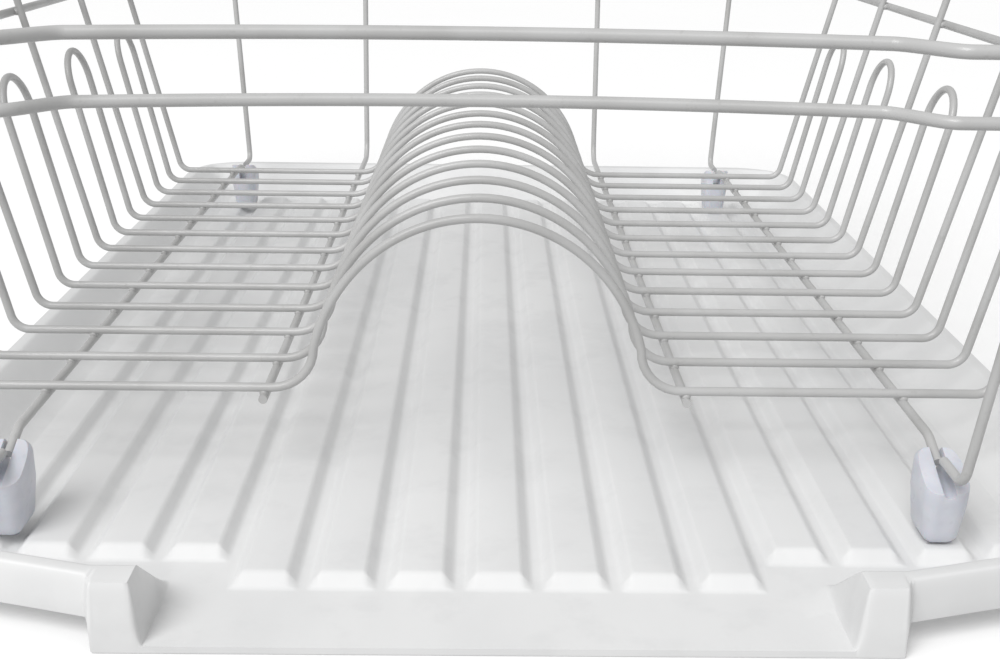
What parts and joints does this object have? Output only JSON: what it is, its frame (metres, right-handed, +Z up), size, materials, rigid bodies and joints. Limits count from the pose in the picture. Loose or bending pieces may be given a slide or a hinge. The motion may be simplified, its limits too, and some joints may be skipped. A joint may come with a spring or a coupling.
{
  "type": "dish drying rack",
  "caption": "White coated-wire dish rack with a row of round humps, side hairpins and push-on feet, lifting off a ribbed plastic drain tray with an open spout.",
  "frame": {"origin": "centre of the object's box, on the surface that the tray stands on", "axes": "+Z up, -Y towards the open spout at the front, +X to the right seen from the front"},
  "size_m": [0.3778, 0.491, 0.147],
  "materials": {
    "coated_wire": "steel wire in a satin white vinyl coat",
    "foot_plastic": "satin, moulded, slightly bluish white",
    "tray_plastic": "moulded white, soft gloss"
  },
  "bodies": {
    "tray": {"drain_tray": "tray_plastic"},
    "rack": {"cross_wire_1": "coated_wire", "cross_wire_4": "coated_wire", "cross_wire_7": "coated_wire", "cross_wire_10": "coated_wire", "cross_wire_13": "coated_wire", "loop_wire_2_3": "coated_wire", "loop_wire_5_6": "coated_wire", "loop_wire_8_9": "coated_wire", "loop_wire_11_12": "coated_wire", "inner_runner_left": "coated_wire", "inner_runner_right": "coated_wire", "outer_runner_left": "coated_wire", "outer_runner_right": "coated_wire", "front_post_left": "coated_wire", "front_post_right": "coated_wire", "back_post_left": "coated_wire", "back_post_right": "coated_wire", "lower_rail": "coated_wire", "top_rail": "coated_wire", "foot_front_left": "foot_plastic", "foot_front_right": "foot_plastic", "foot_back_left": "foot_plastic", "foot_back_right": "foot_plastic"}
  },
  "joints": [
    {"name": "rack_lift", "type": "slide", "parent": "tray", "child": "rack", "axis": [0, 0, 1], "range_m": [0, 0.12]}
  ]
}
